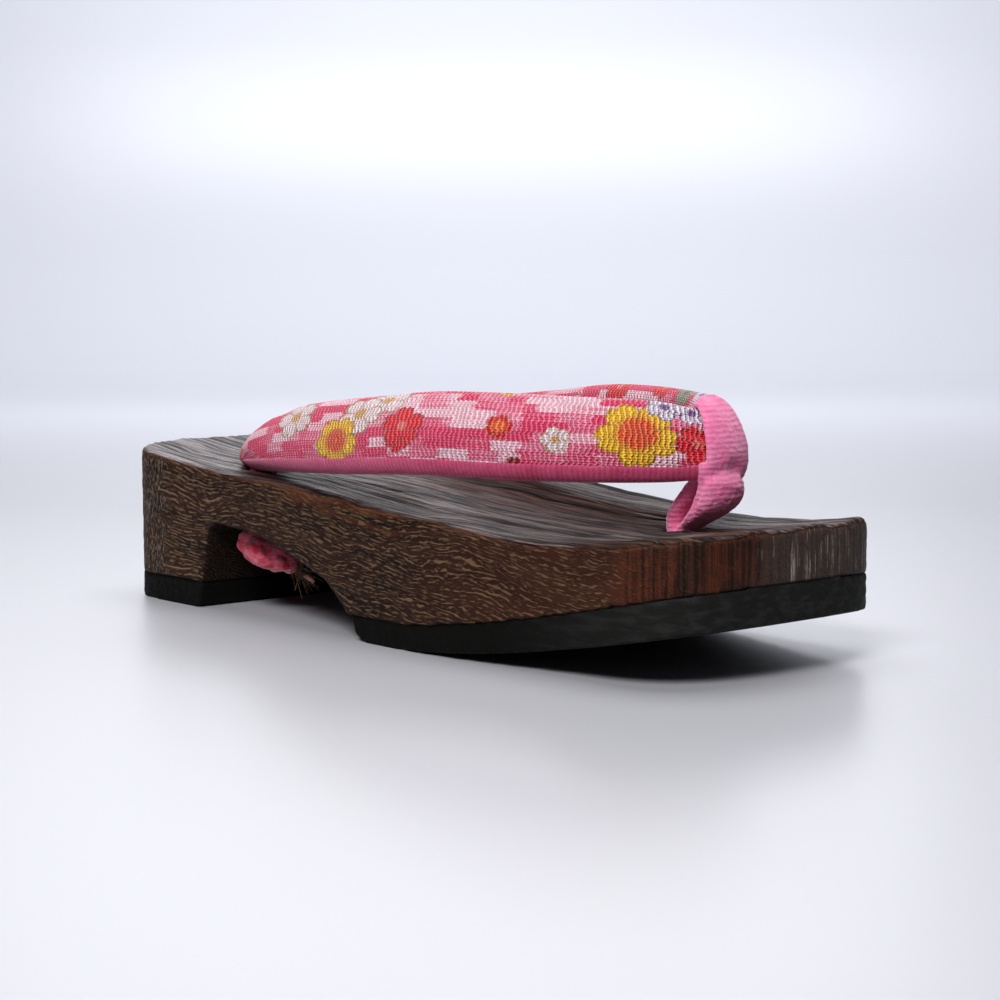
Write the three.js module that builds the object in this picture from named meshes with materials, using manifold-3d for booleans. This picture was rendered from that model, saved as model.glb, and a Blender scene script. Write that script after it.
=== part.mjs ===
// A low wooden sandal for the east asian summer dress: a carved block with a heel, an arch and a rocker toe,
// black rubber under heel and forefoot, a padded cloth thong in a V, and a cloth toe loop tied through the block.
// Millimetres. +X points to the toe, +Y to the wearer's left, +Z up. The origin is on the floor, under the middle.

import * as THREE from "three";
import { mergeVertices } from "three/addons/utils/BufferGeometryUtils.js";
import Module from "manifold-3d";

const wasm = await Module();
wasm.setup();

// Driving dimensions of the block
const sandalLength = 235;
const heelWidth = 85;
const ballWidth = 90;
const toeWidth = 82.5;
const heelHeight = 46.5;
const heelEndDepth = 24;
const toeEndDepth = 30;
const endSquareness = 3;
const footbedEdgeRound = 1.8;
const heelBlockLength = 47;
const heelBlockSlope = 3.2;
const archHeight = 25;
const archCornerRound = 5;
const frontBlockStart = 119.5;

// Driving dimensions of the rubber
const heelRubberThickness = 6.8;
const frontRubberThickness = 7.2;
const rubberEdgeRound = 4;
const heelRubberSetBack = 1;
const frontRubberSlope = 1.1;
const frontTreadFlat = 21.5;
const toeSpring = 13.4;
const glueGap = 0.3;

// Driving dimensions of the holes
const holeDiameter = 10.5;
const holeClearance = 0.5;
const rearHoleFromHeel = 60;
const rearHoleHalfSpacing = ballWidth * 0.322;
const frontHoleFromHeel = 197;
const frontHoleOffset = 1.5;
const knotRecessDiameter = 23;
const knotRecessDepth = 5;

// Driving dimensions of the thong
const thongHeight = 22.6;
const thongThickness = 12;
const thongClearance = 12;
const thongLean = 18;
const thongSkew = 4;
const thongBluntness = 2.2;
const thongTailDiameter = holeDiameter - 2 * holeClearance;
const liningThickness = 1.2;
const clothGap = 0.3;
const liningFromOutside = -40;
const liningToInside = -212;
const tailTopShare = 0.2;

// Driving dimensions of the toe loop and of the ties underneath
const loopWidth = 13;
const loopThickness = 2;
const loopShift = 3;
const postWidth = 13;
const postDepth = 9.5;
const postNeckLift = 0.9;
const frontKnotDiameter = 17;
const frontKnotHeight = 8;
const rearKnotLength = 25;
const rearKnotWidth = 17;
const rearKnotThickness = 11;
const rearKnotTilt = 20;
const rearKnotAhead = 2.5;
const cordDiameter = 3.4;
const cordTipDiameter = 2.3;
const cordEndLength = 10;

// How far the cutting shapes reach past what they cut.
const beyond = 1;

const halfBall = ballWidth / 2;
const fromHeel = (distance) => distance - sandalLength / 2;

// The footbed's height over the floor along the middle, as shares of the length and of the heel height.
const footbedTable = [
  { at: 0.0, height: 1.0 },
  { at: 0.1, height: 0.937 },
  { at: 0.2, height: 0.889 },
  { at: 0.4, height: 0.836 },
  { at: 0.6, height: 0.741 },
  { at: 0.8, height: 0.686 },
  { at: 0.9, height: 0.709 },
  { at: 1.0, height: 0.768 },
];

// The block's full width along its length, as shares of the length and of a blend from heel to ball to toe.
const widthTable = [
  { at: 0.0, width: heelWidth },
  { at: 0.12, width: heelWidth },
  { at: 0.62, width: ballWidth },
  { at: 0.88, width: toeWidth },
  { at: 1.0, width: toeWidth },
];

// The front tread's rise as shares of the toe spring, and its thickness as shares of the rubber's, worn at the ball.
const treadTable = [
  { at: 0.5, rise: 0.0, thick: 0.85 },
  { at: 0.6, rise: 0.0, thick: 0.86 },
  { at: 0.7, rise: 0.12, thick: 0.97 },
  { at: 0.8, rise: 0.36, thick: 1.07 },
  { at: 0.9, rise: 0.67, thick: 1.16 },
  { at: 1.0, rise: 1.0, thick: 1.24 },
];

// The arch's underside between the two blocks, as shares of the gap between them and of the arch's height.
const archTable = [
  { at: 0.1, height: 1.0 },
  { at: 0.28, height: 0.975 },
  { at: 0.5, height: 0.87 },
  { at: 0.7, height: 0.72 },
  { at: 0.83, height: 0.58 },
];

// One side of the thong from its rear tip to the middle of its bend: place along the sandal as a share of the
// length, distance out as a share of half the ball width, lift over the footbed as a share of the clearance,
// height and thickness as shares of the thong's own.
const thongTable = [
  { at: 0.206, out: 0.61, lift: 0.03, tall: 0.06, thick: 0.1 },
  { at: 0.212, out: 0.62, lift: 0.03, tall: 0.16, thick: 0.5 },
  { at: 0.231, out: 0.65, lift: 0.03, tall: 0.36, thick: 0.82 },
  { at: 0.27, out: 0.695, lift: 0.05, tall: 0.6, thick: 0.98 },
  { at: 0.335, out: 0.76, lift: 0.13, tall: 0.78, thick: 1.0 },
  { at: 0.468, out: 0.81, lift: 0.39, tall: 0.91, thick: 1.0 },
  { at: 0.596, out: 0.77, lift: 0.77, tall: 0.97, thick: 1.0 },
  { at: 0.723, out: 0.62, lift: 0.94, tall: 0.97, thick: 0.96 },
  { at: 0.796, out: 0.435, lift: 0.98, tall: 0.94, thick: 0.9 },
  { at: 0.846, out: 0.185, lift: 1.0, tall: 0.87, thick: 0.74 },
  { at: 0.863, out: 0.0, lift: 1.03, tall: 0.74, thick: 0.62 },
];

// How far the bend is pulled to the left, as shares of the skew.
const skewTable = [
  { at: 0.18, pull: 0.0 },
  { at: 0.55, pull: 0.0 },
  { at: 0.72, pull: 0.3 },
  { at: 0.8, pull: 0.75 },
  { at: 0.9, pull: 1.0 },
];

// The toe loop's post under the bend: how far over to the hole, and how far down to the footbed, as shares of the
// way, and its width and depth as shares of its own.
const postTable = [
  { over: 0.0, down: -0.12, wide: 0.9, deep: 1.0 },
  { over: -0.05, down: 0.21, wide: 1.0, deep: 1.1 },
  { over: 0.25, down: 0.5, wide: 1.0, deep: 1.3 },
  { over: 0.7, down: 0.75, wide: 0.9, deep: 1.2 },
];

// Reads one column of a table at a place along it, with a smooth curve that never overshoots its rows.
function read(table, column, at) {
  const last = table.length - 1;
  if (at <= table[0].at) return table[0][column];
  if (at >= table[last].at) return table[last][column];
  const slopes = [];
  for (let i = 0; i < last; i++) {
    slopes.push((table[i + 1][column] - table[i][column]) / (table[i + 1].at - table[i].at));
  }
  const tangents = table.map((row, i) => {
    if (i === 0) return slopes[0];
    if (i === last) return slopes[last - 1];
    const [before, after] = [slopes[i - 1], slopes[i]];
    return before * after <= 0 ? 0 : (2 * before * after) / (before + after);
  });
  let i = 0;
  while (at > table[i + 1].at) i++;
  const span = table[i + 1].at - table[i].at;
  const t = (at - table[i].at) / span;
  const rise = table[i + 1][column] - table[i][column];
  return (
    table[i][column] +
    rise * t * t * (3 - 2 * t) +
    span * (tangents[i] * t * (1 - t) * (1 - t) - tangents[i + 1] * t * t * (1 - t))
  );
}

const footbedHeight = (distance) => heelHeight * read(footbedTable, "height", distance / sandalLength);
const treadHeight = (distance) => toeSpring * read(treadTable, "rise", distance / sandalLength);
const frontWoodHeight = (distance) =>
  treadHeight(distance) + frontRubberThickness * read(treadTable, "thick", distance / sandalLength);
const heelWoodHeight = heelRubberThickness + glueGap;

// Solids and geometries
function solidFrom(geometry) {
  const bare = geometry.index ? geometry.toNonIndexed() : geometry.clone();
  bare.deleteAttribute("normal");
  bare.deleteAttribute("uv");
  const merged = mergeVertices(bare, 1e-3);
  return new wasm.Manifold(
    new wasm.Mesh({
      numProp: 3,
      vertProperties: merged.attributes.position.array,
      triVerts: new Uint32Array(merged.index.array),
    }),
  );
}

function geometryFrom(solid) {
  const mesh = solid.getMesh();
  const geometry = new THREE.BufferGeometry();
  const position = new Float32Array(mesh.numVert * 3);
  for (let i = 0; i < mesh.numVert; i++) {
    position.set(mesh.vertProperties.subarray(i * mesh.numProp, i * mesh.numProp + 3), i * 3);
  }
  geometry.setAttribute("position", new THREE.BufferAttribute(position, 3));
  geometry.setIndex(new THREE.BufferAttribute(new Uint32Array(mesh.triVerts), 1));
  geometry.computeVertexNormals();
  return geometry;
}

// A closed skin over rings of equally many points. Each end is closed across its ring, point to facing point: a
// ring either runs out and back in two rows, or starts on its own middle line.
function skin(rings, startsOnMiddle = false) {
  const count = rings[0].length;
  const position = rings.flatMap((ring) => ring.flatMap((p) => [p.x, p.y, p.z]));
  const index = [];
  for (let r = 0; r + 1 < rings.length; r++) {
    for (let i = 0; i < count; i++) {
      const j = (i + 1) % count;
      const [a, b, c, d] = [r * count + i, r * count + j, (r + 1) * count + j, (r + 1) * count + i];
      index.push(a, b, c, a, c, d);
    }
  }
  const close = (start, flip) => {
    const shift = startsOnMiddle ? 1 : 0;
    for (let i = 0; i < count / 2 - 1 + shift; i++) {
      const [a, b] = [start + i, start + i + 1];
      const [c, d] = [start + ((count - 2 - i + shift) % count), start + ((count - 1 - i + shift) % count)];
      const faces = [
        [a, b, c],
        [a, c, d],
      ];
      for (const face of faces) {
        if (new Set(face).size === 3) index.push(...(flip ? face.reverse() : face));
      }
    }
  };
  close(0, true);
  close((rings.length - 1) * count, false);
  const geometry = new THREE.BufferGeometry();
  geometry.setAttribute("position", new THREE.Float32BufferAttribute(position, 3));
  geometry.setIndex(index);
  const solid = solidFrom(geometry);
  return solid.volume() < 0 ? solidFrom(turnedOut(geometry)) : solid;
}

function turnedOut(geometry) {
  const index = geometry.index.array;
  for (let i = 0; i < index.length; i += 3) [index[i + 1], index[i + 2]] = [index[i + 2], index[i + 1]];
  return geometry;
}

// A solid across the whole width with this outline in the side view.
function acrossWidth(sidePoints) {
  const shape = new THREE.Shape(sidePoints.map(([distance, z]) => new THREE.Vector2(fromHeel(distance), z)));
  const geometry = new THREE.ExtrudeGeometry(shape, { depth: 2 * ballWidth, bevelEnabled: false });
  geometry.rotateX(Math.PI / 2);
  geometry.translate(0, ballWidth, 0);
  return solidFrom(geometry);
}

function uprightCylinder(diameter, low, high, x, y) {
  const sides = 28;
  const geometry = new THREE.CylinderGeometry(diameter / 2, diameter / 2, high - low, sides);
  geometry.rotateX(Math.PI / 2);
  geometry.translate(x, y, (low + high) / 2);
  return solidFrom(geometry);
}

// The block's plan outline
const endSteps = 11;
const sideSteps = 13;

function outlineHalf() {
  const power = 2 / endSquareness;
  const points = [];
  for (let i = 0; i <= endSteps; i++) {
    const turn = (i / endSteps) * (Math.PI / 2);
    points.push([heelEndDepth * (1 - Math.cos(turn) ** power), Math.sin(turn) ** power]);
  }
  points[endSteps][0] = heelEndDepth;
  const middle = sandalLength - heelEndDepth - toeEndDepth;
  for (let i = 1; i < sideSteps; i++) points.push([heelEndDepth + (middle * i) / sideSteps, 1]);
  for (let i = endSteps; i >= 0; i--) {
    const turn = (i / endSteps) * (Math.PI / 2);
    const depth = i === endSteps ? 0 : Math.cos(turn) ** power;
    points.push([sandalLength - toeEndDepth * (1 - depth), Math.sin(turn) ** power]);
  }
  return points.map(([distance, share]) => [
    distance,
    (share * read(widthTable, "width", distance / sandalLength)) / 2,
  ]);
}

const halfOutline = outlineHalf();

// The full outline drawn in by an inset, as pairs of distance from the heel and sideways place.
function outline(inset) {
  const right = halfOutline.map(([distance, half]) => [distance, -half]);
  const left = halfOutline.slice(1, -1).map(([distance, half]) => [distance, half]);
  const full = [...right, ...left.reverse()];
  return full.map(([distance, side], i) => {
    const before = full[(i + full.length - 1) % full.length];
    const after = full[(i + 1) % full.length];
    const along = new THREE.Vector2(after[0] - before[0], after[1] - before[1]).normalize();
    return [distance - along.y * inset, side + along.x * inset];
  });
}

// A ring of the outline at a height that may change along the sandal.
const ringAt = (inset, height) =>
  outline(inset).map(([distance, side]) => new THREE.Vector3(fromHeel(distance), side, height(distance)));

function withFootbed() {
  const roundSteps = 3;
  const rings = [ringAt(0, () => -beyond), ringAt(0, (distance) => footbedHeight(distance) - footbedEdgeRound)];
  for (let i = 1; i <= roundSteps; i++) {
    const turn = (i / roundSteps) * (Math.PI / 2);
    const inset = footbedEdgeRound * (1 - Math.cos(turn));
    const drop = footbedEdgeRound * (1 - Math.sin(turn));
    rings.push(ringAt(inset, (distance) => footbedHeight(distance) - drop));
  }
  return skin(rings, true);
}

// The line of the wood's underside from heel to toe, seen from the side.
function woodUnderside() {
  const gap = frontBlockStart - heelBlockLength;
  const line = [
    [-beyond, heelWoodHeight],
    [heelBlockLength, heelWoodHeight],
  ];
  const cornerSteps = 4;
  for (let i = 0; i <= cornerSteps; i++) {
    const turn = (i / cornerSteps) * (Math.PI / 2);
    line.push([
      heelBlockLength + heelBlockSlope + archCornerRound * (1 - Math.cos(turn)),
      archHeight - archCornerRound * (1 - Math.sin(turn)),
    ]);
  }
  const archSteps = 10;
  const [archStart, archEnd] = [0.16, 0.85];
  for (let i = 0; i <= archSteps; i++) {
    const at = archStart + ((archEnd - archStart) * i) / archSteps;
    line.push([heelBlockLength + gap * at, archHeight * read(archTable, "height", at)]);
  }
  const toeSteps = 14;
  for (let i = 0; i <= toeSteps; i++) {
    const distance = frontBlockStart + ((sandalLength + beyond - frontBlockStart) * i) / toeSteps;
    line.push([distance, frontWoodHeight(distance) + glueGap / 2]);
  }
  return line;
}

const rearHoles = [
  { side: "right", x: fromHeel(rearHoleFromHeel), y: -rearHoleHalfSpacing },
  { side: "left", x: fromHeel(rearHoleFromHeel), y: rearHoleHalfSpacing },
];
const frontHole = { x: fromHeel(frontHoleFromHeel), y: frontHoleOffset };

function woodenBlock() {
  const below = -2 * beyond;
  const cutter = acrossWidth([[-beyond, below], ...woodUnderside(), [sandalLength + beyond, below]]);
  let block = withFootbed().subtract(cutter);
  for (const hole of [...rearHoles, frontHole]) {
    block = block.subtract(uprightCylinder(holeDiameter, -beyond, heelHeight + beyond, hole.x, hole.y));
  }
  const recessTop = frontWoodHeight(frontHoleFromHeel) + knotRecessDepth;
  return block.subtract(knotRecess(recessTop));
}

const knotRecess = (top) => uprightCylinder(knotRecessDiameter, -beyond, top, frontHole.x, frontHole.y);

// A rubber sheet with the block's outline: its side view is the region between two lines.
function rubberUnder(sideRegion) {
  const upright = skin([ringAt(0, () => -beyond), ringAt(0, () => heelHeight)], true);
  return upright.intersect(acrossWidth(sideRegion));
}

function heelRubber() {
  const front = heelBlockLength - heelRubberSetBack;
  const round = rubberEdgeRound / 2;
  const region = [[-beyond, 0]];
  const steps = 4;
  for (let i = 0; i <= steps; i++) {
    const turn = (i / steps) * (Math.PI / 2);
    region.push([front - round * (1 - Math.sin(turn)), round * (1 - Math.cos(turn))]);
  }
  region.push([heelBlockLength, heelRubberThickness], [-beyond, heelRubberThickness]);
  return rubberUnder(region);
}

function frontRubber() {
  const topRear = frontBlockStart + frontRubberSlope;
  const roundLength = rubberEdgeRound * 1.5;
  const steps = 5;
  const region = [];
  for (let i = 0; i <= steps; i++) {
    const turn = (i / steps) * (Math.PI / 2);
    region.push([
      topRear + frontRubberSlope + roundLength * (1 - Math.cos(turn)),
      rubberEdgeRound * (1 - Math.sin(turn)),
    ]);
  }
  const toeSteps = 14;
  const bottomStart = frontBlockStart + frontTreadFlat;
  for (let i = 0; i <= toeSteps; i++) {
    const distance = bottomStart + ((sandalLength + beyond - bottomStart) * i) / toeSteps;
    region.push([distance, treadHeight(distance)]);
  }
  for (let i = toeSteps; i >= 0; i--) {
    const distance = topRear + ((sandalLength + beyond - topRear) * i) / toeSteps;
    region.push([distance, frontWoodHeight(distance) - glueGap / 2]);
  }
  return rubberUnder(region).subtract(knotRecess(heelHeight));
}

// The thong's rows from the right rear tip round the bend to the left rear tip, each with its place.
function thongRows() {
  const rows = thongTable.map((row) => {
    const distance = row.at * sandalLength;
    const tall = thongHeight * row.tall;
    const low = footbedHeight(distance) + Math.max(clothGap, thongClearance * row.lift);
    return { ...row, distance, tall, thick: thongThickness * row.thick, height: low + tall / 2 };
  });
  const placed = (row, side) => {
    const pull = thongSkew * read(skewTable, "pull", row.at);
    return { ...row, place: new THREE.Vector3(fromHeel(row.distance), side * row.out * halfBall + pull, row.height) };
  };
  const right = rows.map((row) => placed(row, -1));
  const left = rows.slice(0, -1).map((row) => placed(row, 1));
  return [...right, ...left.reverse()];
}

const rows = thongRows();
const middleLine = new THREE.CatmullRomCurve3(
  rows.map((row) => row.place),
  false,
  "centripetal",
);

// The thong's section at a share of the way from the right rear tip to the left one.
function thongStation(share) {
  const along = share * (rows.length - 1);
  const k = Math.min(rows.length - 2, Math.floor(along));
  const blend = (key) => rows[k][key] + (rows[k + 1][key] - rows[k][key]) * (along - k);
  const tangent = middleLine.getTangent(share);
  const out = new THREE.Vector3(tangent.y, -tangent.x, 0).normalize();
  return { middle: middleLine.getPoint(share), out, tall: blend("tall"), thick: blend("thick") };
}

function stationsBetween(start, end, steps) {
  const found = [];
  for (let i = 0; i <= steps; i++) found.push(thongStation(start + ((end - start) * i) / steps));
  return found;
}

// One point of a thong section at an angle: 0 faces out, 90 is the top edge, 180 faces the foot.
const leastHalfThick = 0.15;
const leastHalfTall = 0.3;

function sectionPoint(station, degrees, inset) {
  const lean = THREE.MathUtils.degToRad(thongLean);
  const up = new THREE.Vector3(0, 0, 1);
  const face = station.out.clone().multiplyScalar(Math.cos(lean)).addScaledVector(up, Math.sin(lean));
  const edge = up.clone().multiplyScalar(Math.cos(lean)).addScaledVector(station.out, -Math.sin(lean));
  const turn = THREE.MathUtils.degToRad(degrees);
  const power = 2 / thongBluntness;
  const blunt = (value) => Math.sign(value) * Math.abs(value) ** power;
  const across = Math.max(leastHalfThick, station.thick / 2 - inset) * blunt(Math.cos(turn));
  const along = Math.max(leastHalfTall, station.tall / 2 - inset) * blunt(Math.sin(turn));
  return station.middle.clone().addScaledVector(face, across).addScaledVector(edge, along);
}

const stationSteps = 66;
const stations = stationsBetween(0, 1, stationSteps);

// A section's angles: the printed cloth from its lower outer edge over the top, then the lined side back under.
const printSteps = 10;
const liningSteps = 8;
const edgeStep = 2;

function sectionAngles() {
  const angles = [];
  const liningTurn = liningToInside - liningFromOutside;
  for (let i = 0; i <= printSteps; i++) {
    angles.push({ degrees: liningFromOutside + ((360 + liningTurn) * i) / printSteps, covered: false });
  }
  for (let i = 0; i <= liningSteps; i++) {
    const degrees = liningToInside + edgeStep - ((liningTurn + 2 * edgeStep) * i) / liningSteps;
    angles.push({ degrees, covered: true });
  }
  return angles;
}

function clothTube(part, insetAt) {
  return skin(
    part.map((station) =>
      sectionAngles().map((angle) => sectionPoint(station, angle.degrees, insetAt(station, angle.covered))),
    ),
  );
}

// The lining runs between the rear holes, and the rest of the thong is one thickness of printed cloth.
const lined = (station) => station.middle.x > rearHoles[0].x + holeDiameter / 2 + liningThickness;

function thongBody() {
  const cut = liningThickness + clothGap;
  let body = clothTube(stations, (station, covered) => (covered && lined(station) ? cut : 0));
  for (const hole of rearHoles) {
    const top = footbedHeight(rearHoleFromHeel) + thongHeight * tailTopShare;
    const low = archHeight + clothGap;
    body = body.add(uprightCylinder(thongTailDiameter, low, top, hole.x, hole.y));
  }
  return body;
}

// The plain lining: a thin strip on the foot's side, from the lower edge round to the top edge.
function thongLining() {
  const margin = edgeStep + 3;
  const [start, end] = [liningFromOutside - margin, liningToInside + margin];
  const rings = stations.filter(lined).map((station) => {
    const outer = [];
    const inner = [];
    for (let i = 0; i <= liningSteps; i++) {
      const degrees = start + ((end - start) * i) / liningSteps;
      outer.push(sectionPoint(station, degrees, 0));
      inner.push(sectionPoint(station, degrees, liningThickness));
    }
    return [...outer, ...inner.reverse()];
  });
  return skin(rings);
}

// The toe loop's sleeve: a band of cloth round the bend of the thong, pulled a little to the left of its middle.
function toeSleeve() {
  const faceAt = (share) => sectionPoint(thongStation(share), 0, -(clothGap + loopThickness));
  const [searchStep, overhang, steps] = [0.001, 0.02, 8];
  let middle = 0.5;
  while (faceAt(0.5).distanceTo(faceAt(middle)) < loopShift) middle += searchStep;
  let half = 0;
  while (faceAt(middle - half).distanceTo(faceAt(middle + half)) < loopWidth) half += searchStep;
  const [start, end] = [middle - half, middle + half];
  const outside = clothTube(stationsBetween(start, end, steps), () => -(clothGap + loopThickness));
  const inside = clothTube(stationsBetween(start - overhang, end + overhang, steps), () => -clothGap);
  return { outside, inside };
}

// The toe loop's post: the band's two ends gathered together, leaning back and going down into the front hole.
function toePost() {
  const bend = thongStation(0.5);
  const under = bend.middle.z - bend.tall / 2 - clothGap;
  const bed = footbedHeight(frontHoleFromHeel);
  const knotTop = frontWoodHeight(frontHoleFromHeel) + knotRecessDepth;
  const postRows = [
    ...postTable.map((row) => ({
      share: row.over,
      z: under - (under - bed) * row.down,
      wide: postWidth * row.wide,
      deep: postDepth * row.deep,
    })),
    { share: 1, z: bed + postNeckLift, wide: thongTailDiameter, deep: thongTailDiameter },
    { share: 1, z: knotTop, wide: thongTailDiameter, deep: thongTailDiameter },
  ];
  const sides = 18;
  const rings = postRows.map((row) => {
    const x = bend.middle.x + (frontHole.x - bend.middle.x) * row.share;
    const y = bend.middle.y + (frontHole.y - bend.middle.y) * row.share;
    const ring = [];
    for (let i = 0; i < sides; i++) {
      const turn = (i / sides) * Math.PI * 2;
      const [across, along] = [(row.wide / 2) * Math.sin(turn), (row.deep / 2) * Math.cos(turn)];
      ring.push(new THREE.Vector3(x + along, y + across, row.z));
    }
    return ring;
  });
  return skin(rings);
}

function toeLoop() {
  const { outside, inside } = toeSleeve();
  return outside.add(toePost()).subtract(inside);
}

// A round lump of tied cloth, tilted down towards the toe, drawn up until its top is at this height.
function knot(length, width, thickness, tilt, x, y, top) {
  const turn = THREE.MathUtils.degToRad(tilt);
  const rise = Math.hypot((length / 2) * Math.sin(turn), (thickness / 2) * Math.cos(turn));
  const geometry = new THREE.SphereGeometry(0.5, 20, 12);
  geometry.rotateX(Math.PI / 2);
  geometry.scale(length, width, thickness);
  geometry.rotateY(turn);
  geometry.translate(x, y, top - rise);
  return solidFrom(geometry);
}

function frontKnot() {
  const top = frontWoodHeight(frontHoleFromHeel) + knotRecessDepth - clothGap;
  return knot(frontKnotDiameter, frontKnotDiameter, frontKnotHeight, 0, frontHole.x, frontHole.y, top);
}

// A rear tie: the thong's cloth end knotted under the arch, with the end of its hemp core sticking out.
function rearKnot(hole) {
  const lowestWood = archHeight * archTable[1].height;
  const x = hole.x + rearKnotAhead;
  const lump = knot(rearKnotLength, rearKnotWidth, rearKnotThickness, rearKnotTilt, x, hole.y, lowestWood - clothGap);
  const reach = rearKnotLength / 2 + cordEndLength;
  const cord = new THREE.CylinderGeometry(cordTipDiameter / 2, cordDiameter / 2, reach, 12);
  cord.rotateZ(-Math.PI / 2);
  cord.translate(reach / 2, 0, 0);
  cord.rotateY(THREE.MathUtils.degToRad(rearKnotTilt));
  const box = lump.boundingBox();
  cord.translate(x, hole.y, (box.min[2] + box.max[2]) / 2);
  return lump.add(solidFrom(cord));
}

const cloth = { color: 0xd9849b, roughness: 0.85, metalness: 0 };
const finishes = {
  wood: new THREE.MeshStandardMaterial({ color: 0x4f3a30, roughness: 0.45, metalness: 0 }),
  rubber: new THREE.MeshStandardMaterial({ color: 0x191b1b, roughness: 0.8, metalness: 0 }),
  print: new THREE.MeshStandardMaterial(cloth),
  lining: new THREE.MeshStandardMaterial({ ...cloth, color: 0xd0507f }),
  loop: new THREE.MeshStandardMaterial({ ...cloth, color: 0xe76aa8 }),
};

const sandal = new THREE.Group();

function addNode(name, solid, finish) {
  const mesh = new THREE.Mesh(geometryFrom(solid), finish);
  mesh.name = name;
  sandal.add(mesh);
}

addNode("wooden_block", woodenBlock(), finishes.wood);
addNode("heel_rubber", heelRubber(), finishes.rubber);
addNode("front_rubber", frontRubber(), finishes.rubber);
addNode("thong", thongBody(), finishes.print);
addNode("thong_lining", thongLining(), finishes.lining);
addNode("toe_loop", toeLoop(), finishes.loop);
addNode("front_knot", frontKnot(), finishes.loop);
for (const hole of rearHoles) addNode("rear_knot_" + hole.side, rearKnot(hole), finishes.print);

export default sandal;
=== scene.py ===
# %% [markdown]
# A wooden sandal with a padded thong
#
# The sandal is one carved block of light wood, dark stained and wire brushed, on two sheets of black rubber.
# A padded tube of printed crepe runs over it in a V, lined with velveteen, and a velveteen loop ties its
# bend down through the front hole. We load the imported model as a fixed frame, then make a finer piece in the
# place of each solid and give it its finish. All sizes are in metres.

# %% Load the frame
import math
import random

import bmesh
import bpy
import numpy as np
from mathutils import Matrix, Vector


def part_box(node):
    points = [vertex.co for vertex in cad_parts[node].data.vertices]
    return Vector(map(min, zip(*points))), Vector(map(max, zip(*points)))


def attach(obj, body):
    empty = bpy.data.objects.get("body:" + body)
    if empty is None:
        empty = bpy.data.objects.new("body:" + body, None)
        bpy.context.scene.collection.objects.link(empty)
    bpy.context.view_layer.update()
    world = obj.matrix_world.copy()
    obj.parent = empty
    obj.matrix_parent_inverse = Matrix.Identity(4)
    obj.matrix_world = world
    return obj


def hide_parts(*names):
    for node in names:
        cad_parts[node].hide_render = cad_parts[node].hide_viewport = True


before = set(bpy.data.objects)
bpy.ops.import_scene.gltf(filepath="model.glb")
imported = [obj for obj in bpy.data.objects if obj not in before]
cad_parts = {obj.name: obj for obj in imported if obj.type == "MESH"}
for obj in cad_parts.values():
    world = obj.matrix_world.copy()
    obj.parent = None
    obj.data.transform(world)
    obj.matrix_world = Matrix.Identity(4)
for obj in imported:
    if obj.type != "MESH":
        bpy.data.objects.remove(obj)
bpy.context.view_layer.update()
mm = 0.001


def box_of(node):
    return [Vector(corner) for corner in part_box(node)]


block_low, block_high = box_of("wooden_block")
sandal_length = block_high.x - block_low.x
print("frame loaded:", sorted(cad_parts), "length", round(sandal_length, 4))

# %% [markdown]
# The camera
#
# The photograph was taken from the toe end's right, low over the floor, with a long lens. The camera keeps
# that place and turns a little to the left, so that the one sandal fills the picture. Its place is in
# millimetres from the middle of the sandal on the floor.

# %% Camera
camera_place = Vector((430.6, -363.7, 87.6)) * mm
camera_aim = Vector((-0.75136, 0.65255, -0.0955)).normalized()
camera_roll = math.radians(-0.2)


def add_camera():
    bpy.ops.object.camera_add(location=camera_place)
    camera = bpy.context.object
    camera.name = "camera"
    turned = camera_aim.to_track_quat("-Z", "Y").to_matrix() @ Matrix.Rotation(camera_roll, 3, "Z")
    camera.rotation_euler = turned.to_euler()
    camera.data.sensor_width = 36
    camera.data.lens = 74
    camera.data.clip_start = 0.01
    bpy.context.scene.camera = camera
    return camera


camera = add_camera()
print("camera at", tuple(round(v, 3) for v in camera.location), "lens", camera.data.lens)

# %% [markdown]
# The studio
#
# A pale sweep of paper serves as floor and backdrop: a flat sheet whose far edge is extruded up in a curve,
# so that no horizon shows. One large soft light hangs overhead, a second one stands behind and gives the
# footbed its satin sheen, a stronger one in front lights the side that we see, and a last one brightens the
# backdrop.

# %% Studio
scene = bpy.context.scene
scene.view_settings.view_transform = "Standard"
paper_reach = 1.6
paper_curve = 0.5
curve_steps = 10
backdrop_height = 2.5
paper_colour = (0.475, 0.485, 0.53)
quarter = math.radians(90)


def mode(name):
    bpy.ops.object.mode_set(mode=name)


def select(action):
    bpy.ops.mesh.select_all(action=action)


def alone(piece):
    """Leaves this piece as the only one selected, and active."""
    if bpy.context.object and bpy.context.object.mode != "OBJECT":
        mode("OBJECT")
    bpy.ops.object.select_all(action="DESELECT")
    piece.select_set(True)
    bpy.context.view_layer.objects.active = piece


def new_material(name, **sockets):
    """A material with a Principled shader, and the values that are the same all over set on its sockets."""
    material = bpy.data.materials.new(name)
    material.use_nodes = True
    shader = material.node_tree.nodes["Principled BSDF"]
    for socket, value in sockets.items():
        shader.inputs[socket.replace("_", " ")].default_value = value
    return material, material.node_tree, shader


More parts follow.
